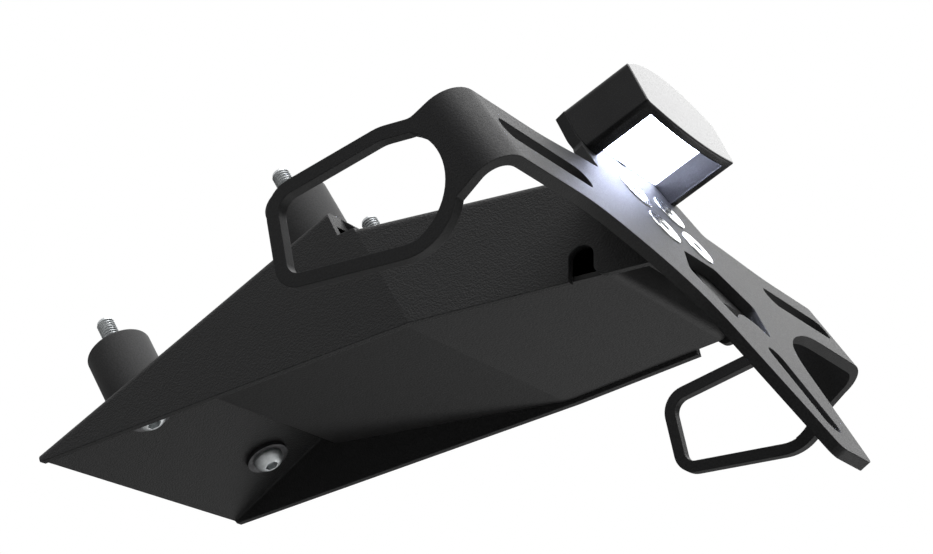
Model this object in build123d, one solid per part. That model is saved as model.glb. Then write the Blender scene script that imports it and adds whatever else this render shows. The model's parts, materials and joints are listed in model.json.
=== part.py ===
from build123d import *
import math
import os

# Motorbike tail tidy: a folded tray that bolts up under the tail, a number plate holder
# with two indicator rings, and a small plate light.
#
# Frame: X across the bike, Y forward, Z up. The origin is the centre of the four
# mounting studs, on the top face of the tray.

# Sheets
TRAY_SHEET = 2.5
PANEL_SHEET = 1.6
HOLDER_SHEET = 3.5
FOLD_OUTER_R = 3.2
FOLD_INNER_R = FOLD_OUTER_R - TRAY_SHEET
FIT_GAP = 0.4

# Tray, measured on its outer faces
TRAY_FRONT_Y = 69.6
WEB_REAR_Y = -52.1
WEB_FRONT_HALF = 51.0
WEB_REAR_HALF = 42.2
FLANGE_SPLAY = 0.148
FOLD_Y = -59.8
FOLD_LOW_Z = -56.5
FOLD_LEAN = 2.76
FRONT_EDGE_DROP = 3.5
STEP_DROP = 13.0
STEP_HALF = 34.0
RELIEF_DROP = 11.1
REAR_TOP_PITCH = 26.6
REAR_LOW_PITCH = 24.6
REAR_TAPER = 0.266
TOP_OPENING_Y = -106.0

# Cable notch in each side wall, measured along the wall's lower edge
NOTCH_START = 48.3
NOTCH_WIDTH = 7.5
NOTCH_HEIGHT = 11.2
NOTCH_FLARE = 3.6

# Under panel
PANEL_RECESS = 1.2
PANEL_FOLD_Y = -57.2
RAMP_TOP_Y = 21.4
PANEL_LIP_END_Y = -50.0
PANEL_LIP_HALF = 36.0
PANEL_BEND_Y = -114.4
PANEL_BEND_R = 2.4
REAR_LIP_HALF = 18.0
REAR_LIP_TOP = 57.0
REAR_LIP_FOOT = 73.0

# Mounting studs: M6 button head bolts through plain spacers
FRONT_STUD_Y = 38.6
REAR_STUD_Y = -38.6
FRONT_STUD_HALF = 30.9
REAR_STUD_HALF = 25.1
SPACER_R = 10.75
SPACER_HEIGHT = 24.6
SPACER_EDGE = 0.8
STUD_TOP_Z = 37.3
M6_R = 3.0
M6_CLEAR_R = 3.3
M6_HEAD_R = 5.25
M6_HEAD_HEIGHT = 3.3
M6_SOCKET_AF = 4.0
M6_SOCKET_DEPTH = 2.1
WASHER_R = 7.3
THREAD_PITCH = 1.0
THREAD_DEPTH = 0.45
STUD_WAIST_R = 2.7
STUD_LAND = 0.5

# Number plate holder. Local places are (across, down) from the point where its rear
# face meets the level of the tray's top face.
HOLDER_Y = -124.9
HOLDER_LEAN = 3.4
ARM_TOP = 53.6
ARM_LOW = 81.0
ARM_TAPER_HALF = 78.0
SHOULDER_TOP = 49.4
SHOULDER_HALF = 33.5
SHOULDER_R = 2.5
HINGE_DOWN = 37.5
HINGE_HALF = 31.0
TONGUE_LOW = 154.5
TONGUE_HALF = 10.2
TONGUE_ROOT_HALF = 23.4
TONGUE_ROOT_DOWN = 114.0
TONGUE_CORNER_R = 4.0
SIDE_SLOT_INNER = 57.0
SIDE_SLOT_OUTER = 103.4
SIDE_SLOT_DOWN = 66.4
SLOT_WIDTH = 8.4
TONGUE_SLOT_TOP = 111.8
TONGUE_SLOT_LOW = 145.4
OPENING_TOP = 74.6
OPENING_WAIST = 87.0
OPENING_WAIST_HALF = 21.0
OPENING_TOP_HALF = 10.0
OPENING_LOW = 103.3
OPENING_LOW_HALF = 11.5
OPENING_SILL_RISE = 4.5

# Indicator rings, one at each side, on faces across X
WING_HALF = 116.0
WING_BEND_OUTER_R = 10.0
RING_BAR = 4.0
RING_CORNERS = [
    (-112.6, -54.2, 5.0),
    (-104.0, -49.2, 16.0),
    (-66.6, -39.2, 9.0),
    (-56.9, -67.0, 8.0),
    (-102.7, -92.9, 16.5),
    (-112.0, -82.8, 0.0),
]
RING_WINDOW_Y = -98.0
RING_WINDOW_Z = -68.0
RING_WINDOW_R = 16.3

# Holder bolts: M6 countersunk heads, a little proud, with flange nuts in the tray
HOLDER_BOLT_HALF = 10.5
HOLDER_BOLT_ROWS = (48.8, 64.6)
SUNK_HEAD_R = 6.5
SUNK_HEAD_PROUD = 0.4
HOLDER_BOLT_LENGTH = 18.0
NUT_AF = 10.0
NUT_HEIGHT = 5.7
NUT_FLANGE_R = 6.4
NUT_FLANGE = 1.4

# End tabs of the tray
TAB_TOP = 41.0
TAB_TOP_HALF = 18.0
TAB_SEAM_HALF = 2.0
TOP_OPENING_HALF = 24.0

# Plate light, on a tab of the holder that leans back from a fold just above the light's foot
LIGHT_LEAN = 9.0
LIGHT_FOOT = 6.0
LIGHT_HALF = 28.3
LIGHT_SIDE = 15.2
LIGHT_CROWN = 8.1
LIGHT_BELLY = 3.2
LIGHT_REACH = 23.9
LIGHT_CROWN_EDGE = 2.0
LIGHT_BELLY_EDGE = 1.4
LIGHT_END_EDGE = 0.6
LIGHT_END_WALL = 2.6
LIGHT_MARGIN = 4.8
LIGHT_LENS_HALF = 21.9
LIGHT_RECESS = 7.0
LIGHT_LENS_THICK = 2.0
LIGHT_POCKET_HALF = 14.0
LIGHT_POCKET = 3.4
BOARD_THICK = 1.2
CHIP = 2.8
CHIP_HEIGHT = 0.8
CHIP_COUNT = 3
CHIP_PITCH = 10.0
LIGHT_SCREW_HALF = 13.0
LIGHT_SCREW_R = 2.0
LIGHT_SCREW_HEAD_R = 3.5
LIGHT_SCREW_HEAD = 2.2
LIGHT_SCREW_LENGTH = 12.0
LIGHT_SCREW_UP = 15.8
LIGHT_LEAD_UP = 9.6
LEAD_HOLE_R = 4.0

FAR = 400.0


def below(solid, point, normal):
    """What is left of a solid on the side of a plane that its normal points away from."""
    plane = Plane(origin=point, z_dir=normal)
    return split(solid, bisect_by=plane, keep=Keep.BOTTOM)


def across_x(profile, half):
    """A closed profile in the YZ plane, given as (y, z) points, made solid across X."""
    face = Plane.YZ * make_face(Polyline(*profile, close=True))
    return extrude(face, amount=half, both=True)


def hexagon(across_flats):
    return RegularPolygon(radius=across_flats / 2, side_count=6, major_radius=False)


# Tray walls as planes: a point on the wall and the outward normal

WEB_TAPER = (WEB_FRONT_HALF - WEB_REAR_HALF) / (TRAY_FRONT_Y - WEB_REAR_Y)


def web_half(y):
    return WEB_REAR_HALF + WEB_TAPER * (y - WEB_REAR_Y)


FOLD_LOW_HALF = web_half(FOLD_Y) - FLANGE_SPLAY * FOLD_LOW_Z
FOLD_TILT = math.tan(math.radians(FOLD_LEAN))
REAR_SPLAY = FLANGE_SPLAY + (REAR_TAPER - WEB_TAPER) * FOLD_TILT
FOLD_TOP_Y = FOLD_Y + FOLD_TILT * (-STEP_DROP - FOLD_LOW_Z)


def front_wall(side, inset):
    """The front flange on one side, moved inwards by inset."""
    normal = Vector(side, -WEB_TAPER, FLANGE_SPLAY).normalized()
    point = Vector(side * web_half(0), 0, 0) - normal * inset
    return point, normal


def rear_wall(side, inset):
    normal = Vector(side, -REAR_TAPER, REAR_SPLAY).normalized()
    point = Vector(side * FOLD_LOW_HALF, FOLD_Y, FOLD_LOW_Z) - normal * inset
    return point, normal


def pitched(y, z, degrees, inset, up):
    """A plane that falls to the rear; up is 1 for an upper face and -1 for a lower one."""
    angle = math.radians(degrees)
    normal = Vector(0, -math.sin(angle), math.cos(angle)) * up
    return Vector(0, y, z) - normal * inset, normal


def front_low(inset):
    """The plane through the free edges of the front flanges."""
    fall = math.degrees(math.atan2(-FOLD_LOW_Z - FRONT_EDGE_DROP, TRAY_FRONT_Y - FOLD_Y))
    return pitched(FOLD_Y, FOLD_LOW_Z, fall, inset, -1)


def rear_low(inset):
    return pitched(FOLD_Y, FOLD_LOW_Z, REAR_LOW_PITCH, inset, -1)


def rear_top(inset):
    return pitched(FOLD_TOP_Y, -STEP_DROP, REAR_TOP_PITCH, inset, 1)


def fold_face(sign):
    """The plane across the tray in which its walls and its underside change direction."""
    normal = Vector(0, 1, -FOLD_TILT).normalized() * sign
    return Vector(0, FOLD_Y, FOLD_LOW_Z), normal


# The holder's own frame: X across, Y up along its rear face, Z out of that face

HOLDER_PLANE = Plane(
    origin=(0, HOLDER_Y, 0),
    x_dir=(1, 0, 0),
    z_dir=(0, -math.cos(math.radians(HOLDER_LEAN)), math.sin(math.radians(HOLDER_LEAN))),
)
TAB_FOLD_DOWN = HINGE_DOWN - LIGHT_FOOT
LIGHT_PLANE = Plane(
    HOLDER_PLANE.location * Pos(0, -TAB_FOLD_DOWN, 0) * Rot(LIGHT_LEAN, 0, 0) * Pos(0, -LIGHT_FOOT, 0)
)


def on_holder(across, down, out=0.0):
    return HOLDER_PLANE.location * Pos(across, -down, out)


def holder_face(inset, sign):
    """A plane parallel to the holder's rear face, inset towards the front of the bike."""
    normal = HOLDER_PLANE.z_dir * sign
    return HOLDER_PLANE.origin - HOLDER_PLANE.z_dir * inset, normal


def channel(inset, top_inset, low_inset, end_inset):
    """The room inside the tray's outline, with its walls moved inwards."""
    front = Pos(0, TRAY_FRONT_Y - FAR / 4, 0) * Box(FAR, FAR / 2, FAR)
    front = below(front, *fold_face(-1))
    front = below(front, Vector(0, 0, -top_inset), Vector(0, 0, 1))
    front = below(front, *step_face(top_inset))
    front = below(front, *front_low(low_inset))
    rear = Pos(0, TRAY_FRONT_Y - FAR / 2, 0) * Box(FAR, FAR, FAR)
    rear = below(rear, *fold_face(1))
    rear = below(rear, *rear_top(top_inset))
    rear = below(rear, *rear_low(low_inset))
    rear = below(rear, *holder_face(end_inset, 1))
    for side in (-1, 1):
        front = below(front, *front_wall(side, inset))
        rear = below(rear, *rear_wall(side, inset))
    return front, rear


def step_face(inset):
    """The short steep face between the web's rear edge and the rear top."""
    run = WEB_REAR_Y - FOLD_TOP_Y
    normal = Vector(0, -STEP_DROP, run).normalized()
    return Vector(0, WEB_REAR_Y, 0) - normal * inset, normal


def long_top_edges(solid):
    """The edges along the folds between a top face and its two side walls."""
    def runs_back(edge):
        direction = edge @ 1 - edge @ 0
        return abs(direction.Y) > 30 and abs(direction.X) < abs(direction.Y)
    runs = [edge for edge in solid.edges() if runs_back(edge)]
    runs.sort(key=lambda edge: edge.center().Z)
    return runs[-2:]


def stud_places():
    """Name and place of each mounting stud."""
    return {
        "front_left": (-FRONT_STUD_HALF, FRONT_STUD_Y),
        "front_right": (FRONT_STUD_HALF, FRONT_STUD_Y),
        "rear_left": (-REAR_STUD_HALF, REAR_STUD_Y),
        "rear_right": (REAR_STUD_HALF, REAR_STUD_Y),
    }


def holder_bolt_places():
    """Name and place, across and down, of each bolt that carries the holder."""
    upper, lower = HOLDER_BOLT_ROWS
    return {
        "upper_left": (-HOLDER_BOLT_HALF, upper),
        "upper_right": (HOLDER_BOLT_HALF, upper),
        "lower_left": (-HOLDER_BOLT_HALF, lower),
        "lower_right": (HOLDER_BOLT_HALF, lower),
    }


def stud_holes():
    return [Pos(x, y, 0) * Cylinder(M6_CLEAR_R, 30) for x, y in stud_places().values()]


def holder_bolt_holes():
    return [on_holder(x, down) * Cylinder(M6_CLEAR_R, 30) for x, down in holder_bolt_places().values()]


def corner_relief():
    """The open corners between the web's rear edge and the side walls."""
    profile = [
        (WEB_REAR_Y, FAR / 8),
        (WEB_REAR_Y, -RELIEF_DROP),
        (FOLD_TOP_Y, -STEP_DROP),
        (FOLD_TOP_Y, FAR / 8),
    ]
    middle = Box(2 * STEP_HALF, FAR, FAR)
    return across_x(profile, FAR / 4) - middle


def cable_notch():
    """A round topped notch, open at the lower edge of both side walls."""
    pitch = math.radians(REAR_LOW_PITCH)
    foot = Plane(
        origin=(0, FOLD_Y, FOLD_LOW_Z),
        x_dir=(0, -math.cos(pitch), -math.sin(pitch)),
        z_dir=(1, 0, 0),
    )
    r = NOTCH_WIDTH / 2
    rise = -(NOTCH_HEIGHT - r)
    end = NOTCH_START + NOTCH_WIDTH
    outline = [
        Line((NOTCH_START, 5), (NOTCH_START, rise)),
        ThreePointArc((NOTCH_START, rise), (NOTCH_START + r, -NOTCH_HEIGHT), (end, rise)),
        Line((end, rise), (end, -NOTCH_FLARE)),
        ThreePointArc(
            (end, -NOTCH_FLARE),
            (end + NOTCH_FLARE * 0.3, -NOTCH_FLARE * 0.3),
            (end + NOTCH_FLARE, 0),
        ),
        Line((end + NOTCH_FLARE, 0), (end + NOTCH_FLARE, 5)),
        Line((end + NOTCH_FLARE, 5), (NOTCH_START, 5)),
    ]
    face = foot * make_face(outline)
    return extrude(face, amount=FAR / 4, both=True)


def holder_slab(sketch, front, back):
    """A sketch in the holder's frame made solid between two depths behind its rear face."""
    return extrude(HOLDER_PLANE.offset(-back) * sketch, amount=back - front)


def tab_ears():
    """What stands above the side walls of the two tabs that the holder bolts to."""
    height = HOLDER_BOLT_ROWS[0] + 2 * M6_R - TAB_TOP + M6_HEAD_R
    outline = Pos(0, -TAB_TOP - height / 2) * RectangleRounded(2 * TAB_TOP_HALF, height, M6_R)
    return holder_slab(outline, HOLDER_SHEET, HOLDER_SHEET + TRAY_SHEET)


def top_opening():
    """The gap at the rear of the tray's top that lets the light's lead in."""
    gap = Pos(0, TOP_OPENING_Y - FAR / 4, 0) * Box(2 * TOP_OPENING_HALF, FAR / 2, FAR / 4)
    return below(gap, *holder_face(HOLDER_SHEET + TRAY_SHEET, 1))


def tab_seam():
    outline = Pos(0, -OPENING_WAIST) * Rectangle(2 * TAB_SEAM_HALF, FAR / 2)
    return holder_slab(outline, 0, HOLDER_SHEET + TRAY_SHEET + 1)


def main_tray():
    front, rear = channel(0, 0, 0, HOLDER_SHEET)
    front = fillet(long_top_edges(front), FOLD_OUTER_R)
    rear = fillet(long_top_edges(rear), FOLD_OUTER_R)
    front_room, rear_room = channel(TRAY_SHEET, TRAY_SHEET, -FAR / 8, HOLDER_SHEET + TRAY_SHEET)
    front_room = fillet(long_top_edges(front_room), FOLD_INNER_R)
    rear_room = fillet(long_top_edges(rear_room), FOLD_INNER_R)
    ahead = Pos(0, TRAY_FRONT_Y + FAR / 8, 0) * Box(FAR, FAR / 4, FAR)
    tray = front + rear - front_room - rear_room
    tray -= [ahead, corner_relief(), cable_notch(), top_opening()]
    tray += tab_ears()
    tray -= tab_seam()
    tray -= stud_holes()
    tray -= holder_bolt_holes()
    return tray


def panel_line():
    """The under panel's side view along the middle of its sheet, as (y, z) points."""
    half = PANEL_SHEET / 2
    pitch = math.radians(REAR_LOW_PITCH)
    web_face = -TRAY_SHEET - half
    middle = FOLD_LOW_Z + (PANEL_RECESS + half) / math.cos(pitch)
    fold = (PANEL_FOLD_Y, middle + math.tan(pitch) * (PANEL_FOLD_Y - FOLD_Y))
    bend = (PANEL_BEND_Y, middle + math.tan(pitch) * (PANEL_BEND_Y - FOLD_Y))
    ramp = math.atan2(web_face - fold[1], RAMP_TOP_Y - PANEL_FOLD_Y)
    nose = RAMP_TOP_Y + PANEL_BEND_R / math.sin(ramp / 2) - PANEL_BEND_R - half
    foot = on_holder(0, REAR_LIP_FOOT, -HOLDER_SHEET - TRAY_SHEET - half).position
    head = on_holder(0, REAR_LIP_TOP, -HOLDER_SHEET - TRAY_SHEET - half).position
    return [(PANEL_LIP_END_Y, web_face), (nose, web_face), fold, bend, (foot.Y, foot.Z), (head.Y, head.Z)]


def under_panel():
    line = FilletPolyline(*panel_line(), radius=PANEL_BEND_R)
    sheet = extrude(Plane.YZ * trace(line, PANEL_SHEET), amount=FAR / 4, both=True)
    inset = TRAY_SHEET + FIT_GAP
    front, rear = channel(inset, TRAY_SHEET, 0, HOLDER_SHEET + TRAY_SHEET)
    front = fillet(long_top_edges(front), FOLD_INNER_R)
    panel = sheet & (front + rear)
    beside_front_lip = Pos(0, RAMP_TOP_Y - FAR / 2 - 4 * PANEL_BEND_R, 0) * Box(
        FAR, FAR, 2 * (TRAY_SHEET + PANEL_SHEET + 0.1)
    )
    beside_front_lip -= Box(2 * PANEL_LIP_HALF, FAR * 2, FAR)
    lip_height = REAR_LIP_FOOT - PANEL_BEND_R
    beside_rear_lip = holder_slab(
        Pos(0, -lip_height / 2) * Rectangle(FAR, lip_height)
        - Rectangle(2 * REAR_LIP_HALF, FAR),
        HOLDER_SHEET + TRAY_SHEET,
        HOLDER_SHEET + TRAY_SHEET + PANEL_SHEET + 0.1,
    )
    panel -= [beside_front_lip, beside_rear_lip]
    panel -= stud_holes()
    panel -= holder_bolt_holes()
    return panel


def rounded(corners):
    """A closed outline from (a, b, radius) corners."""
    face = make_face(Polyline(*[(a, b) for a, b, r in corners], close=True))
    for a, b, r in corners:
        if r:
            corner = face.vertices().sort_by_distance((a, b, 0))[0]
            face = fillet(corner, r)
    return face


def light_outline(grow=0.0):
    """The light's section on its tab: straight ends, a domed top and a shallow belly."""
    half = LIGHT_HALF + grow
    return make_face(
        [
            Line((-half, 0), (-half, LIGHT_SIDE)),
            ThreePointArc((-half, LIGHT_SIDE), (0, LIGHT_SIDE + LIGHT_CROWN), (half, LIGHT_SIDE)),
            Line((half, LIGHT_SIDE), (half, 0)),
            ThreePointArc((half, 0), (0, -LIGHT_BELLY), (-half, 0)),
        ]
    )


def light_down(up):
    """How far down the holder's plane a height on the leaning tab shows."""
    return TAB_FOLD_DOWN - (up - LIGHT_FOOT) * math.cos(math.radians(LIGHT_LEAN))


def holder_side(sign):
    """One half of the holder's flat outline, from the light tab round to the tongue."""
    arm_end = WING_HALF - WING_BEND_OUTER_R
    side_top = light_down(LIGHT_SIDE)
    neck = (sign * (LIGHT_HALF + 0.1), -HINGE_DOWN + 3)
    hinge = (sign * HINGE_HALF, -HINGE_DOWN)
    shoulder = (sign * SHOULDER_HALF, -SHOULDER_TOP)
    taper = (sign * ARM_TAPER_HALF, -ARM_TOP)
    low = (sign * ARM_TAPER_HALF, -ARM_LOW)
    root = (sign * TONGUE_ROOT_HALF, -TONGUE_ROOT_DOWN)
    fall = Vector(sign * (TONGUE_HALF - TONGUE_ROOT_HALF), TONGUE_ROOT_DOWN - TONGUE_LOW)
    haunch = [(sign * 56.7, -85.5), (sign * 36.0, -96.3)]
    return [
        Line((sign * (LIGHT_HALF + 0.1), -side_top), neck),
        Line(neck, hinge),
        Line(hinge, shoulder),
        Spline(shoulder, taper, tangents=((sign, -0.02), (sign, 0))),
        Line(taper, (sign * arm_end, -ARM_TOP)),
        Line((sign * arm_end, -ARM_TOP), (sign * arm_end, -ARM_LOW)),
        Line((sign * arm_end, -ARM_LOW), low),
        Spline(low, *haunch, root, tangents=((-sign, 0), (fall.X, fall.Y))),
        Line(root, (sign * TONGUE_HALF, -TONGUE_LOW)),
    ]


def holder_outline():
    side_top = light_down(LIGHT_SIDE)
    crown_top = light_down(LIGHT_SIDE + LIGHT_CROWN)
    half = LIGHT_HALF + 0.1
    face = make_face(
        holder_side(-1)
        + holder_side(1)
        + [
            ThreePointArc((-half, -side_top), (0, -crown_top), (half, -side_top)),
            Line((-TONGUE_HALF, -TONGUE_LOW), (TONGUE_HALF, -TONGUE_LOW)),
        ]
    )
    tips = face.vertices().sort_by(Axis.Y)[:2]
    face = fillet(tips, TONGUE_CORNER_R)
    for sign in (-1, 1):
        shoulder = face.vertices().sort_by_distance((sign * SHOULDER_HALF, -SHOULDER_TOP, 0))[0]
        face = fillet(shoulder, SHOULDER_R)
    return face


def plate_opening():
    """The opening in the middle of the holder, with a sill that bulges upwards."""
    outline = rounded(
        [
            (-OPENING_TOP_HALF, -OPENING_TOP, 3),
            (OPENING_TOP_HALF, -OPENING_TOP, 3),
            (OPENING_WAIST_HALF, -OPENING_WAIST, 2.5),
            (OPENING_LOW_HALF, -OPENING_LOW, 1.5),
            (-OPENING_LOW_HALF, -OPENING_LOW, 1.5),
            (-OPENING_WAIST_HALF, -OPENING_WAIST, 2.5),
        ]
    )
    sill_half = OPENING_LOW_HALF - 1.5
    sill = make_face(
        [
            ThreePointArc(
                (-sill_half, -OPENING_LOW),
                (0, -OPENING_LOW + OPENING_SILL_RISE),
                (sill_half, -OPENING_LOW),
            ),
            Line((sill_half, -OPENING_LOW), (-sill_half, -OPENING_LOW)),
        ]
    )
    return outline - sill


def plate_slots():
    """The slots that take the number plate's screws."""
    side_length = SIDE_SLOT_OUTER - SIDE_SLOT_INNER
    side_middle = (SIDE_SLOT_OUTER + SIDE_SLOT_INNER) / 2
    tongue_length = TONGUE_SLOT_LOW - TONGUE_SLOT_TOP
    tongue_middle = (TONGUE_SLOT_LOW + TONGUE_SLOT_TOP) / 2
    return [
        Pos(-side_middle, -SIDE_SLOT_DOWN) * SlotOverall(side_length, SLOT_WIDTH),
        Pos(side_middle, -SIDE_SLOT_DOWN) * SlotOverall(side_length, SLOT_WIDTH),
        Pos(0, -tongue_middle) * SlotOverall(tongue_length, SLOT_WIDTH, rotation=90),
    ]


def holder_sheet():
    """The holder's middle sheet, bent along the hinge line under the light."""
    mid = HOLDER_SHEET / 2
    low = on_holder(0, TONGUE_LOW + 5, -mid).position
    hinge = on_holder(0, TAB_FOLD_DOWN, -mid).position
    top = (LIGHT_PLANE.location * Pos(0, LIGHT_SIDE + LIGHT_CROWN + 5, -mid)).position
    line = FilletPolyline((low.Y, low.Z), (hinge.Y, hinge.Z), (top.Y, top.Z), radius=3 * HOLDER_SHEET)
    return extrude(Plane.YZ * trace(line, HOLDER_SHEET), amount=FAR / 4 + 50, both=True)


def ring_outline():
    """A ring's outer edge as (y, z), from the top of the bend round to its foot."""
    top = on_holder(0, ARM_TOP, -WING_BEND_OUTER_R).position
    low = on_holder(0, ARM_LOW, -WING_BEND_OUTER_R).position
    return rounded([(top.Y, top.Z, 0), *RING_CORNERS, (low.Y, low.Z, 0)])


def ring_window():
    inside = offset(ring_outline(), -RING_BAR)
    ahead = Pos(RING_WINDOW_Y + FAR / 4, 0) * Rectangle(FAR / 2, FAR)
    rear_end = Pos(RING_WINDOW_Y, RING_WINDOW_Z) * Circle(RING_WINDOW_R)
    return inside & (ahead + rear_end)


def wing(side):
    """The bend at an arm's end and the ring that it turns forward into."""
    inner_r = WING_BEND_OUTER_R - HOLDER_SHEET
    centre = on_holder(side * (WING_HALF - WING_BEND_OUTER_R), ARM_LOW, -WING_BEND_OUTER_R)
    section = Plane(
        origin=centre.position,
        x_dir=(side, 0, 0),
        z_dir=HOLDER_PLANE.y_dir * side,
    )
    corner = Circle(WING_BEND_OUTER_R) - Circle(inner_r)
    reach = 2 * WING_BEND_OUTER_R
    corner = corner & (Pos(reach / 2, -reach / 2) * Rectangle(reach, reach))
    bend = extrude(section * corner, amount=side * (ARM_LOW - ARM_TOP))
    ring = Plane.YZ * (ring_outline() - ring_window())
    ring = extrude(ring, amount=HOLDER_SHEET)
    ring = Pos((WING_HALF - HOLDER_SHEET) if side > 0 else -WING_HALF, 0, 0) * ring
    return bend + ring


def sunk_cone(foot_r):
    """A right angled cone that opens at Z = 0 and narrows to foot_r below it."""
    depth = SUNK_HEAD_R - foot_r
    return Pos(0, 0, -depth / 2) * Cone(foot_r, SUNK_HEAD_R, depth)


def plate_holder():
    flat = holder_outline() - plate_opening() - plate_slots()
    through = extrude(HOLDER_PLANE * flat, amount=FAR / 16, both=True)
    holder = holder_sheet() & through
    holder = holder + wing(-1) + wing(1)
    holder -= holder_bolt_holes()
    holder -= [on_holder(x, down) * sunk_cone(M6_CLEAR_R) for x, down in holder_bolt_places().values()]
    holder -= [on_light(x, LIGHT_SCREW_UP, 0) * Cylinder(LIGHT_SCREW_R + 0.25, 20) for x in LIGHT_SCREW_SIDES]
    holder -= on_light(0, LIGHT_LEAD_UP, 0) * Cylinder(LEAD_HOLE_R, 20)
    return holder


def on_light(across, up, out=0.0):
    return LIGHT_PLANE.location * Pos(across, up, out)


def light_slab(sketch, start, end):
    """A sketch in the light's frame made solid between two distances out from its tab."""
    return extrude(LIGHT_PLANE.offset(start) * sketch, amount=end - start)


def light_rectangle(half, low, high):
    return Pos(0, (low + high) / 2) * Rectangle(2 * half, high - low)


LENS_TOP = LIGHT_RECESS + LIGHT_LENS_THICK
POCKET_TOP = LENS_TOP + LIGHT_POCKET
LENS_END = LIGHT_REACH - LIGHT_END_WALL
POCKET_START = 3.0
POCKET_END = LENS_END - 2.0
LIGHT_SCREW_SIDES = (-LIGHT_SCREW_HALF, LIGHT_SCREW_HALF)


def light_body():
    """The light's outside, with its long edges and its end face's edge rounded."""
    body = light_slab(light_outline(), 0, LIGHT_REACH)
    along = body.edges().filter_by(lambda e: abs(e.length - LIGHT_REACH) < 0.01)
    along = along.sort_by(Axis.Z)
    body = fillet(along[-2:], LIGHT_CROWN_EDGE)
    along = body.edges().filter_by(lambda e: abs(e.length - LIGHT_REACH) < 0.01).sort_by(Axis.Z)
    body = fillet(along[:2], LIGHT_BELLY_EDGE)
    end = body.faces().sort_by_distance(on_light(0, LIGHT_SIDE / 2, LIGHT_REACH).position)[0]
    return fillet(end.edges(), LIGHT_END_EDGE)


def light_housing():
    body = light_body() - holder_sheet()
    mouth_half = LIGHT_HALF - LIGHT_MARGIN
    recess = make_face(
        Polyline(
            (-mouth_half, -LIGHT_BELLY - 1),
            (-mouth_half, -0.6),
            (-LIGHT_LENS_HALF, LIGHT_RECESS),
            (LIGHT_LENS_HALF, LIGHT_RECESS),
            (mouth_half, -0.6),
            (mouth_half, -LIGHT_BELLY - 1),
            close=True,
        )
    )
    body -= light_slab(recess, -1, LENS_END)
    body -= light_slab(light_rectangle(LIGHT_LENS_HALF, LIGHT_RECESS - 0.1, LENS_TOP), 0, LENS_END)
    pocket = light_rectangle(LIGHT_POCKET_HALF, LENS_TOP - 0.1, POCKET_TOP)
    body -= light_slab(pocket, POCKET_START, POCKET_END)
    body -= on_light(0, LIGHT_LEAD_UP, POCKET_START / 2) * Cylinder(LEAD_HOLE_R / 2, POCKET_START + 1)
    hole = LIGHT_SCREW_LENGTH - HOLDER_SHEET + 1
    bore = Cylinder(LIGHT_SCREW_R, hole + 1)
    body -= [on_light(x, LIGHT_SCREW_UP, hole / 2 - 0.5) * bore for x in LIGHT_SCREW_SIDES]
    return body


def light_lens():
    return light_slab(light_rectangle(LIGHT_LENS_HALF, LIGHT_RECESS, LENS_TOP), 0.2, LENS_END)


def light_board():
    return light_slab(
        light_rectangle(LIGHT_POCKET_HALF - 0.5, POCKET_TOP - BOARD_THICK, POCKET_TOP),
        POCKET_START + 0.5,
        POCKET_END - 0.5,
    )


def light_chips():
    top = POCKET_TOP - BOARD_THICK
    middle = (POCKET_START + POCKET_END) / 2
    first = -CHIP_PITCH * (CHIP_COUNT - 1) / 2
    return [
        on_light(first + i * CHIP_PITCH, top - CHIP_HEIGHT / 2, middle) * Box(CHIP, CHIP_HEIGHT, CHIP)
        for i in range(CHIP_COUNT)
    ]


def light_screw(side):
    """A pan head screw from the front of the tab into the light."""
    shank = Pos(0, 0, LIGHT_SCREW_LENGTH / 2) * Cylinder(LIGHT_SCREW_R, LIGHT_SCREW_LENGTH)
    shank = chamfer(shank.edges().sort_by(Axis.Z)[-1], 0.6)
    head = Pos(0, 0, -LIGHT_SCREW_HEAD / 2) * Cylinder(LIGHT_SCREW_HEAD_R, LIGHT_SCREW_HEAD)
    head = fillet(head.edges().sort_by(Axis.Z)[0], 1.2)
    head -= Pos(0, 0, -LIGHT_SCREW_HEAD) * extrude(hexagon(2.5), amount=1.2)
    return on_light(side * LIGHT_SCREW_HALF, LIGHT_SCREW_UP, -HOLDER_SHEET) * (head + shank)


def threaded_rod(length, ridge_length, waist_length=0):
    """A rod on Z = 0 with thread ridges at its far end; up to waist_length it is thinner."""
    root = M6_R - THREAD_DEPTH
    count = int(ridge_length / THREAD_PITCH)
    start = length - count * THREAD_PITCH
    points = [(0, 0), (M6_R, 0), (M6_R, start)]
    if waist_length > 0:
        points[1:2] = [(STUD_WAIST_R, 0), (STUD_WAIST_R, waist_length), (M6_R, waist_length)]
    for i in range(count):
        z = start + i * THREAD_PITCH
        points.append((root, z + THREAD_PITCH * 0.5))
        if i < count - 1:
            points.append((M6_R, z + THREAD_PITCH))
    points += [(root, length), (0, length)]
    profile = make_face(Plane.XZ * Polyline(*points, close=True))
    return revolve(profile, Axis.Z)


def sunk_head():
    """A countersunk head with its rim at Z = 0, a little proud below it, and a hexagon socket."""
    rim = Pos(0, 0, -SUNK_HEAD_PROUD / 2) * Cylinder(SUNK_HEAD_R, SUNK_HEAD_PROUD)
    rim = chamfer(rim.edges().filter_by(GeomType.CIRCLE).sort_by(Axis.Z)[0], SUNK_HEAD_PROUD / 2)
    head = rim + Rot(180, 0, 0) * sunk_cone(M6_R)
    socket = extrude(hexagon(M6_SOCKET_AF), amount=M6_SOCKET_DEPTH + 1)
    return head - Pos(0, 0, -SUNK_HEAD_PROUD - 1) * socket


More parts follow.
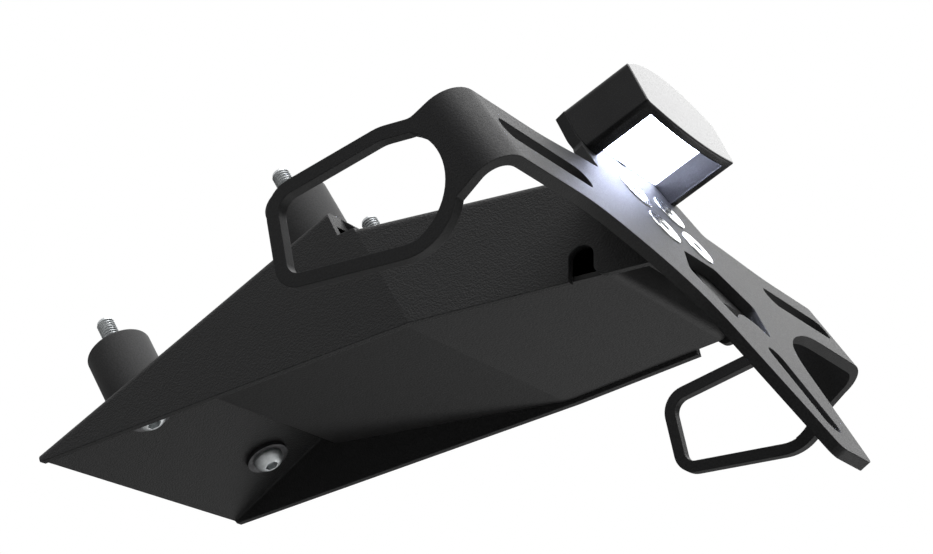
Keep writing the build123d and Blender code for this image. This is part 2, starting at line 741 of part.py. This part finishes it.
def button_head(radius, height, rim):
    """A domed head below Z = 0, with a hexagon socket."""
    crown = radius * 0.42
    profile = make_face(
        Plane.XZ
        * Wire(
            [
                *Polyline((0, -height), (0, 0), (radius, 0), (radius, -rim)).edges(),
                *ThreePointArc(
                    (radius, -rim),
                    (radius * 0.80, -rim - (height - rim) * 0.62),
                    (crown, -height),
                ).edges(),
                *Line((crown, -height), (0, -height)).edges(),
            ]
        )
    )
    head = revolve(profile, Axis.Z)
    socket = extrude(hexagon(M6_SOCKET_AF), amount=M6_SOCKET_DEPTH + 1)
    return head - Pos(0, 0, -height - 1) * socket


def mount_bolt(name):
    x, y = stud_places()[name]
    seat = -TRAY_SHEET - PANEL_SHEET
    length = STUD_TOP_Z - seat
    bolt = threaded_rod(length, STUD_TOP_Z - SPACER_HEIGHT - STUD_LAND, SPACER_HEIGHT - seat)
    bolt += button_head(M6_HEAD_R, M6_HEAD_HEIGHT, 0.6)
    return Pos(x, y, seat) * bolt


def mount_washer(name):
    x, y = stud_places()[name]
    washer = Cylinder(WASHER_R, PANEL_SHEET) - Cylinder(M6_CLEAR_R, PANEL_SHEET)
    return Pos(x, y, -TRAY_SHEET - PANEL_SHEET / 2) * washer


def spacer(name):
    x, y = stud_places()[name]
    body = Cylinder(SPACER_R, SPACER_HEIGHT)
    rims = body.edges().filter_by(GeomType.CIRCLE)
    body = fillet(rims, SPACER_EDGE) - Cylinder(M6_CLEAR_R, SPACER_HEIGHT)
    return Pos(x, y, SPACER_HEIGHT / 2) * body


def holder_bolt(name):
    across, down = holder_bolt_places()[name]
    bolt = threaded_rod(HOLDER_BOLT_LENGTH, HOLDER_BOLT_LENGTH / 2)
    bolt = bolt + sunk_head()
    return on_holder(across, down) * Rot(180, 0, 0) * bolt


def holder_nut(name):
    """A flange nut; the lower pair stands on the under panel's lip."""
    across, down = holder_bolt_places()[name]
    seat = HOLDER_SHEET + TRAY_SHEET + (PANEL_SHEET if name.startswith("lower") else 0)
    flange = Pos(0, 0, NUT_FLANGE / 2) * Cylinder(NUT_FLANGE_R, NUT_FLANGE)
    nut = flange + extrude(hexagon(NUT_AF), amount=NUT_HEIGHT)
    top = nut.faces().sort_by(Axis.Z)[-1]
    nut = chamfer(top.edges(), 0.6)
    nut -= Cylinder(M6_R, 3 * NUT_HEIGHT)
    return on_holder(across, down, -seat) * Rot(180, 0, 0) * nut


def write(name, shape):
    """Save one piece in the part's frame, whose origin lies between the front studs."""
    export_step(Pos(0, -FRONT_STUD_Y, -SPACER_HEIGHT) * shape, "parts/" + name + ".step")


def main():
    os.makedirs("parts", exist_ok=True)
    write("main_tray", main_tray())
    write("under_panel", under_panel())
    write("plate_holder", plate_holder())
    for name in stud_places():
        write("spacer_" + name, spacer(name))
        write("mount_bolt_" + name, mount_bolt(name))
        if name.startswith("front"):
            write("mount_washer_" + name, mount_washer(name))
    for name in holder_bolt_places():
        write("holder_bolt_" + name, holder_bolt(name))
        write("holder_nut_" + name, holder_nut(name))
    write("light_housing", light_housing())
    write("light_lens", light_lens())
    write("light_board", light_board())
    write("light_chips", Compound(children=light_chips()))
    write("light_screw_left", light_screw(-1))
    write("light_screw_right", light_screw(1))


if __name__ == "__main__":
    main()
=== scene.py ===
"""Looks of a motorbike tail tidy: coats, metals, plastics, studio and camera.

Metres, in the part's own frame: X to the bike's right, Y forward, Z up.
Every shape is the CAD node's own. This script gives each one its material.
"""

import json

import bpy
from mathutils import Matrix, Vector

MM = 0.001

# Camera: its place, its own three axes, and its lens and sensor in millimetres
CAMERA_PLACE = (-0.5580633, -0.2837858, -0.4297485)
CAMERA_RIGHT = (0.53374348, -0.72097759, -0.44193802)
CAMERA_UP = (-0.27968279, -0.64369606, 0.71234326)
CAMERA_BACK = (-0.79805729, -0.25660611, -0.54521360)
LENS = 86.4
SENSOR = 36.0
CLIP_START = 0.01
CLIP_END = 60

# Floor
FLOOR_Z = -1.6
FLOOR_HALF = 9.0
FLOOR_COLOUR = (0.82, 0.82, 0.81, 1)
FLOOR_ROUGHNESS = 0.9

# The sky's strength as fill light and, in reflections, at the horizon.
# A reflected ray whose direction has this Z or more sees plain white.
SKY_COLOUR = (1, 1, 1, 1)
SKY_FILL = 0.18
SKY_LOW = 0.02
SKY_WHITE_ABOVE = 0.65

# Lamps look at AIM: name, direction, distance, width, height, and power in watts
AIM = Vector((0, -0.05, -0.06))
LAMPS = (
    ("side", (0.82, -0.33, 0.44), 2.4, 1.9, 1.7, 26),
    ("rear", (-0.10, -0.85, 0.50), 2.4, 1.6, 1.6, 56),
    ("low", (0.80, 0.26, -0.545), 2.2, 1.6, 1.6, 12),
    ("overhead", (0.25, -0.75, 1.0), 2.6, 2.4, 2.4, 37),
)

# Black coats: dark and light ground, pebble size, relief, roughness, specular level
BLACK_COATS = {
    "textured_black_steel": ((0.0085, 0.0086, 0.0090), (0.0150, 0.0151, 0.0156),
                             0.60 * MM, 0.17 * MM, 0.57, 0.20),
    "satin_black_steel": ((0.0100, 0.0101, 0.0106), (0.0170, 0.0171, 0.0178),
                          0.60 * MM, 0.05 * MM, 0.58, 0.18),
    "black_sheet": ((0.0095, 0.0095, 0.0098), (0.0155, 0.0155, 0.0160),
                    0.70 * MM, 0.07 * MM, 0.58, 0.24),
}

# Steels: dark and light ground, roughness
STAINLESS = ((0.50, 0.51, 0.52), (0.68, 0.70, 0.71), 0.20)
PLATED = ((0.42, 0.44, 0.45), (0.58, 0.60, 0.61), 0.46)
DULLED = ((0.045, 0.045, 0.047), (0.080, 0.080, 0.083), 0.55)

# Other grounds, dark and light, and the paler tone painted along their edges as a highlight
ANODISED = ((0.0420, 0.0420, 0.0425), (0.0640, 0.0640, 0.0650))
ANODISED_EDGE_HIGHLIGHT = (0.11, 0.11, 0.112)
PLASTIC = ((0.0080, 0.0080, 0.0084), (0.0135, 0.0135, 0.0142))
PLASTIC_EDGE_HIGHLIGHT = (0.05, 0.05, 0.052)
CLEAR = ((0.86, 0.88, 0.93), (0.95, 0.96, 1.00))
BOARD = ((0.62, 0.63, 0.61), (0.80, 0.81, 0.79))
CHIP = ((0.86, 0.78, 0.30), (0.95, 0.90, 0.48))

# The light's glow: colour, and weakest and strongest emission
GLOW = (0.72, 0.77, 1.0, 1)
LENS_GLOW = (8.5, 12.0)
CHIP_GLOW = (10.0, 14.0)

# Radii that sharp edges are shaded with
COAT_EDGE = 0.45 * MM
BLASTED_EDGE = 0.5 * MM
STEEL_EDGE = 0.25 * MM
MOULDED_EDGE = 0.5 * MM
LENS_EDGE = 0.3 * MM
BOARD_EDGE = 0.15 * MM
CHIP_EDGE = 0.1 * MM

COAT_IOR = 1.5
MOULDED_IOR = 1.52
CLEAR_IOR = 1.5
ANODISED_SPECULAR = 0.15
MOULDED_SPECULAR = 0.2

# Nearly all of a noise's values lie between these two
NOISE_LOW = 0.3
NOISE_HIGH = 0.7

# A wave texture of scale 1 has this share of a band in each metre
WAVE_BANDS = 0.314159

# A Mix node's colour sockets, which share their names with its other kinds
MIX_FIRST = 6
MIX_SECOND = 7
MIX_RESULT = 2


def brighter(colour, factor):
    return tuple(factor * c for c in colour)


class Nodes:
    """A material's node tree, with short calls for the nodes that the finishes share."""

    def __init__(self, name):
        self.material = bpy.data.materials.new(name)
        self.material.use_nodes = True
        self.tree = self.material.node_tree
        self.tree.nodes.clear()
        output = self.add("OutputMaterial")
        self.shader = self.add("BsdfPrincipled")
        self.link(self.shader.outputs["BSDF"], output.inputs["Surface"])
        self.place = self.add("TexCoord").outputs["Object"]

    def add(self, kind, **settings):
        node = self.tree.nodes.new("ShaderNode" + kind)
        for name, value in settings.items():
            setattr(node, name, value)
        return node

    def link(self, source, target):
        self.tree.links.new(source, target)

    def fill(self, node, **values):
        """Each named input of the node, from a number, a colour or a socket."""
        for name, value in values.items():
            socket = node.inputs[name.replace("_", " ")]
            if hasattr(value, "is_linked"):
                self.link(value, socket)
            else:
                socket.default_value = value
        return node

    def noise(self, size, detail=3.0, roughness=0.6, stretch=None):
        """Soft noise from 0 to 1 whose lumps are about size metres across."""
        where = self.place
        if stretch:
            mapping = self.fill(self.add("Mapping"), Vector=self.place, Scale=stretch)
            where = mapping.outputs["Vector"]
        node = self.fill(self.add("TexNoise"), Vector=where, Scale=1 / size,
                         Detail=detail, Roughness=roughness)
        return node.outputs["Fac"]

    def cells(self, size):
        """Smooth pebbles about size metres across."""
        node = self.add("TexVoronoi", feature="SMOOTH_F1")
        self.fill(node, Vector=self.place, Scale=1 / size, Smoothness=0.6)
        return node.outputs["Distance"]

    def lines(self, pitch, axis="Z"):
        """Slightly uneven lines across an axis: turning marks, prisms or a weave."""
        node = self.add("TexWave", wave_type="BANDS", bands_direction=axis)
        self.fill(node, Vector=self.place, Scale=WAVE_BANDS / pitch, Distortion=1.5, Detail=2.0)
        return node.outputs["Fac"]

    def ramp(self, source, low=NOISE_LOW, high=NOISE_HIGH, to_low=0.0, to_high=1.0):
        """source from low to high becomes to_low to to_high, and stays there outside."""
        node = self.add("MapRange", interpolation_type="SMOOTHSTEP")
        self.fill(node, Value=source, From_Min=low, From_Max=high, To_Min=to_low, To_Max=to_high)
        return node.outputs["Result"]

    def maths(self, kind, a, b):
        node = self.add("Math", operation=kind)
        for socket, value in zip(node.inputs, (a, b)):
            if isinstance(value, float):
                socket.default_value = value
            else:
                self.link(value, socket)
        return node.outputs[0]

    def times(self, a, b):
        return self.maths("MULTIPLY", a, b)

    def plus(self, a, b):
        return self.maths("ADD", a, b)

    def blend(self, factor, first, second):
        """first where factor is 0, second where it is 1."""
        node = self.add("Mix", data_type="RGBA")
        self.link(factor, node.inputs["Factor"])
        for index, value in ((MIX_FIRST, first), (MIX_SECOND, second)):
            if isinstance(value, tuple):
                node.inputs[index].default_value = (*value, 1)
            else:
                self.link(value, node.inputs[index])
        return node.outputs[MIX_RESULT]

    def rounded(self, radius):
        """The surface's direction with its sharp edges rounded by radius."""
        return self.fill(self.add("Bevel", samples=6), Radius=radius).outputs["Normal"]

    def edges(self, rounded):
        """1 at a sharp edge, 0 on flat ground."""
        dot = self.add("VectorMath", operation="DOT_PRODUCT")
        self.link(rounded, dot.inputs[0])
        self.link(self.add("NewGeometry").outputs["Normal"], dot.inputs[1])
        return self.ramp(dot.outputs["Value"], 0.995, 0.85)

    def bump(self, height, relief, below, strength=1.0):
        """The direction below, made uneven by height."""
        node = self.add("Bump")
        self.fill(node, Height=height, Distance=relief, Normal=below, Strength=strength)
        return node.outputs["Normal"]


def black_coat(name, dark, light, pebble, relief, rough, specular):
    """Powder coat: an even, finely pebbled skin, with painted glints scattered over it and a patchy
    painted highlight along the sheet's edges.
    """
    m = Nodes(name)
    round_edge = m.rounded(COAT_EDGE)
    skin = m.plus(m.times(m.cells(pebble), 0.8), m.times(m.noise(pebble * 0.6), 0.6))
    # Painted glints: scattered pale specks in the colour that stand in for light catching the
    # pebbles
    painted_glints = m.ramp(m.noise(pebble * 0.4, detail=2.0), 0.58, 0.75, to_high=0.3)
    # Painted highlight: patchy paler tone along sharp edges, as if light caught them, not wear
    painted_edge_highlight = m.ramp(m.noise(3 * MM), low=0.35, to_low=0.1, to_high=0.5)
    ground = m.blend(m.ramp(skin, 0.35, 0.95), dark, light)
    ground = m.blend(painted_glints, ground, brighter(light, 1.5))
    ground = m.blend(m.times(m.edges(round_edge), painted_edge_highlight), ground, brighter(light, 2.0))
    m.fill(m.shader, Base_Color=ground,
           Roughness=m.ramp(skin, high=0.95, to_low=rough - 0.05, to_high=rough + 0.05),
           Normal=m.bump(skin, relief, round_edge), IOR=COAT_IOR, Specular_IOR_Level=specular)
    return m.material


def anodised():
    """Bead blasted and black anodised aluminium, with a trace of its turning lines."""
    m = Nodes("black anodised aluminium")
    round_edge = m.rounded(BLASTED_EDGE)
    turned = m.lines(0.35 * MM)
    grain = m.noise(0.5 * MM)
    dark, light = ANODISED
    ground = m.blend(m.ramp(grain), dark, light)
    ground = m.blend(m.times(turned, 0.15), ground, light)
    # Painted highlight: sharp edges are paled, as if light caught them
    ground = m.blend(m.times(m.edges(round_edge), 0.3), ground, ANODISED_EDGE_HIGHLIGHT)
    blasted = m.bump(grain, 0.06 * MM, round_edge, strength=0.7)
    m.fill(m.shader, Base_Color=ground, Roughness=m.ramp(grain, to_low=0.66, to_high=0.76),
           Normal=m.bump(turned, 0.01 * MM, blasted, strength=0.4), IOR=COAT_IOR,
           Specular_IOR_Level=ANODISED_SPECULAR)
    return m.material


def steel(name, dark, light, rough):
    """Plain fasteners: cloudy ground, fine lines, faint handling marks and a painted highlight
    along the edges.
    """
    m = Nodes(name)
    round_edge = m.rounded(STEEL_EDGE)
    turned = m.noise(0.5 * MM, stretch=(1, 1, 6))
    marks = m.ramp(m.noise(1.2 * MM, detail=2.0, roughness=0.5, stretch=(4, 1, 1)), 0.6, 0.72)
    ground = m.blend(m.ramp(m.noise(4 * MM, detail=4.0)), dark, light)
    # Painted highlight: sharp edges are paled, as if light caught them
    ground = m.blend(m.times(m.edges(round_edge), 0.4), ground, brighter(light, 1.2))
    lined = m.ramp(turned, to_low=rough - 0.05, to_high=rough + 0.06)
    m.fill(m.shader, Base_Color=ground, Metallic=1.0,
           Roughness=m.plus(lined, m.times(marks, 0.08)),
           Normal=m.bump(turned, 0.02 * MM, round_edge, strength=0.4))
    return m.material


def moulded():
    """The light's housing: glossy moulded plastic, faintly wavy and spark-eroded."""
    m = Nodes("black moulded plastic")
    round_edge = m.rounded(MOULDED_EDGE)
    grain = m.noise(0.35 * MM)
    ground = m.blend(m.ramp(m.noise(15 * MM, roughness=0.5)), *PLASTIC)
    # Painted highlight: sharp edges are paled, as if light caught them
    ground = m.blend(m.times(m.edges(round_edge), 0.3), ground, PLASTIC_EDGE_HIGHLIGHT)
    wavy = m.bump(m.noise(7 * MM, detail=2.0, roughness=0.5), 0.03 * MM, round_edge, strength=0.4)
    m.fill(m.shader, Base_Color=ground, Roughness=m.ramp(grain, to_low=0.20, to_high=0.30),
           Normal=m.bump(grain, 0.012 * MM, wavy, strength=0.6), IOR=MOULDED_IOR,
           Specular_IOR_Level=MOULDED_SPECULAR)
    return m.material


def clear_lens():
    """The light's window: clear plastic, prismatic inside, lit from behind."""
    m = Nodes("clear lens")
    prism = m.lines(1.6 * MM, "X")
    haze = m.noise(2.5 * MM, roughness=0.55)
    weakest, strongest = LENS_GLOW
    m.fill(m.shader, Base_Color=m.blend(m.ramp(haze), *CLEAR),
           Roughness=m.ramp(haze, to_low=0.10, to_high=0.2),
           Normal=m.bump(prism, 0.06 * MM, m.rounded(LENS_EDGE), strength=0.5),
           IOR=CLEAR_IOR, Transmission_Weight=0.5, Emission_Color=GLOW,
           Emission_Strength=m.ramp(prism, 0.0, 1.0, weakest, strongest))
    return m.material


def solder_mask():
    """A white circuit board with a faint weave under its mask."""
    m = Nodes("white circuit board")
    weave = m.times(m.lines(0.5 * MM, "X"), m.lines(0.5 * MM, "Y"))
    m.fill(m.shader, Base_Color=m.blend(m.ramp(m.noise(3 * MM, roughness=0.5)), *BOARD),
           Roughness=m.ramp(weave, 0.0, 1.0, to_low=0.4, to_high=0.5),
           Normal=m.bump(weave, 0.02 * MM, m.rounded(BOARD_EDGE), strength=0.5))
    return m.material


def potted_chip():
    """A lamp chip: pale yellow phosphor, lit."""
    m = Nodes("lamp chip")
    cloud = m.noise(0.6 * MM, roughness=0.5)
    weakest, strongest = CHIP_GLOW
    m.fill(m.shader, Base_Color=m.blend(m.ramp(cloud), *CHIP),
           Roughness=m.ramp(cloud, to_low=0.3, to_high=0.4),
           Normal=m.bump(cloud, 0.02 * MM, m.rounded(CHIP_EDGE), strength=0.4),
           Emission_Color=GLOW,
           Emission_Strength=m.ramp(cloud, to_low=weakest, to_high=strongest))
    return m.material


def dress(nodes, record):
    """Each node gets the finish of its material slot, or of its kind of fastener."""
    finish = {slot: black_coat(slot.replace("_", " "), *look) for slot, look in BLACK_COATS.items()}
    finish["black_aluminium"] = anodised()
    finish["stainless"] = steel("stainless steel", *STAINLESS)
    finish["black_plastic"] = moulded()
    finish["lens"] = clear_lens()
    finish["circuit_board"] = solder_mask()
    finish["led"] = potted_chip()
    fastener = {
        "mount_bolt": steel("plated steel", *PLATED),
        "mount_washer": steel("dulled steel", *DULLED),
    }
    slots = {row["node"]: row["material_slot"] for row in record["subparts"]}
    for name, obj in nodes.items():
        slot = slots[name]
        kind = "_".join(name.split("_")[:2])
        obj.data.materials.clear()
        obj.data.materials.append(fastener.get(kind, finish[slot]))


def lamp(name, direction, distance, width, height, power):
    """A soft rectangular lamp that looks at the object from that direction."""
    light = bpy.data.lights.new(name, "AREA")
    light.shape = "RECTANGLE"
    light.size = width
    light.size_y = height
    light.energy = power
    obj = bpy.data.objects.new(name, light)
    away = Vector(direction).normalized()
    obj.location = AIM + away * distance
    obj.rotation_mode = "QUATERNION"
    obj.rotation_quaternion = (-away).to_track_quat("-Z", "Y")
    bpy.context.scene.collection.objects.link(obj)


def sky():
    """White where it is seen, weak as fill light, and dimmer low down in reflections."""
    world = bpy.data.worlds.new("studio")
    bpy.context.scene.world = world
    world.use_nodes = True
    tree = world.node_tree
    tree.nodes.clear()

    def graded(value, from_max, to_min, to_max):
        """to_min where value is 0, to_max where it is from_max or more."""
        node = tree.nodes.new("ShaderNodeMapRange")
        tree.links.new(value, node.inputs["Value"])
        node.inputs["From Max"].default_value = from_max
        for name, end in (("To Min", to_min), ("To Max", to_max)):
            if isinstance(end, float):
                node.inputs[name].default_value = end
            else:
                tree.links.new(end, node.inputs[name])
        return node.outputs["Result"]

    path = tree.nodes.new("ShaderNodeLightPath")
    direction = tree.nodes.new("ShaderNodeTexCoord").outputs["Generated"]
    split = tree.nodes.new("ShaderNodeSeparateXYZ")
    tree.links.new(direction, split.inputs["Vector"])
    mirrored = graded(split.outputs["Z"], SKY_WHITE_ABOVE, SKY_LOW, 1.0)
    strength = graded(path.outputs["Is Glossy Ray"], 1.0, SKY_FILL, mirrored)
    for ray in ("Is Transmission Ray", "Is Camera Ray"):
        strength = graded(path.outputs[ray], 1.0, strength, 1.0)
    background = tree.nodes.new("ShaderNodeBackground")
    background.inputs["Color"].default_value = SKY_COLOUR
    tree.links.new(strength, background.inputs["Strength"])
    output = tree.nodes.new("ShaderNodeOutputWorld")
    tree.links.new(background.outputs["Background"], output.inputs["Surface"])


def lay_floor():
    """A plain pale floor, well below the part."""
    mesh = bpy.data.meshes.new("floor")
    h = FLOOR_HALF
    corners = [(-h, -h, FLOOR_Z), (h, -h, FLOOR_Z), (h, h, FLOOR_Z), (-h, h, FLOOR_Z)]
    mesh.from_pydata(corners, [], [(0, 1, 2, 3)])
    floor = bpy.data.objects.new("floor", mesh)
    bpy.context.scene.collection.objects.link(floor)
    paint = bpy.data.materials.new("pale floor")
    paint.use_nodes = True
    surface = paint.node_tree.nodes["Principled BSDF"]
    surface.inputs["Base Color"].default_value = FLOOR_COLOUR
    surface.inputs["Roughness"].default_value = FLOOR_ROUGHNESS
    mesh.materials.append(paint)


def camera():
    """The photograph's point of view."""
    data = bpy.data.cameras.new("camera")
    data.sensor_fit = "HORIZONTAL"
    data.sensor_width = SENSOR
    data.lens = LENS
    data.clip_start = CLIP_START
    data.clip_end = CLIP_END
    obj = bpy.data.objects.new("camera", data)
    bpy.context.scene.collection.objects.link(obj)
    turn = Matrix((CAMERA_RIGHT, CAMERA_UP, CAMERA_BACK)).transposed()
    obj.matrix_world = Matrix.Translation(CAMERA_PLACE) @ turn.to_4x4()
    bpy.context.scene.camera = obj


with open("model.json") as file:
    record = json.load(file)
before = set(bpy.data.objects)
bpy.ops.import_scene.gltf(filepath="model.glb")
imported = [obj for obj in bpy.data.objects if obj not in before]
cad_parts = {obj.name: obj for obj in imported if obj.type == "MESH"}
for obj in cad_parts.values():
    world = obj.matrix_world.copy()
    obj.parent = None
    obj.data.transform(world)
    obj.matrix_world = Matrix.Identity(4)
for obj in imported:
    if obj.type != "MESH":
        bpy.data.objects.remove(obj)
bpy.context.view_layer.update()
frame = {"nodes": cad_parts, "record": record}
bpy.context.scene.view_settings.view_transform = "Standard"
dress(frame["nodes"], frame["record"])
sky()
lay_floor()
for row in LAMPS:
    lamp(*row)
camera()
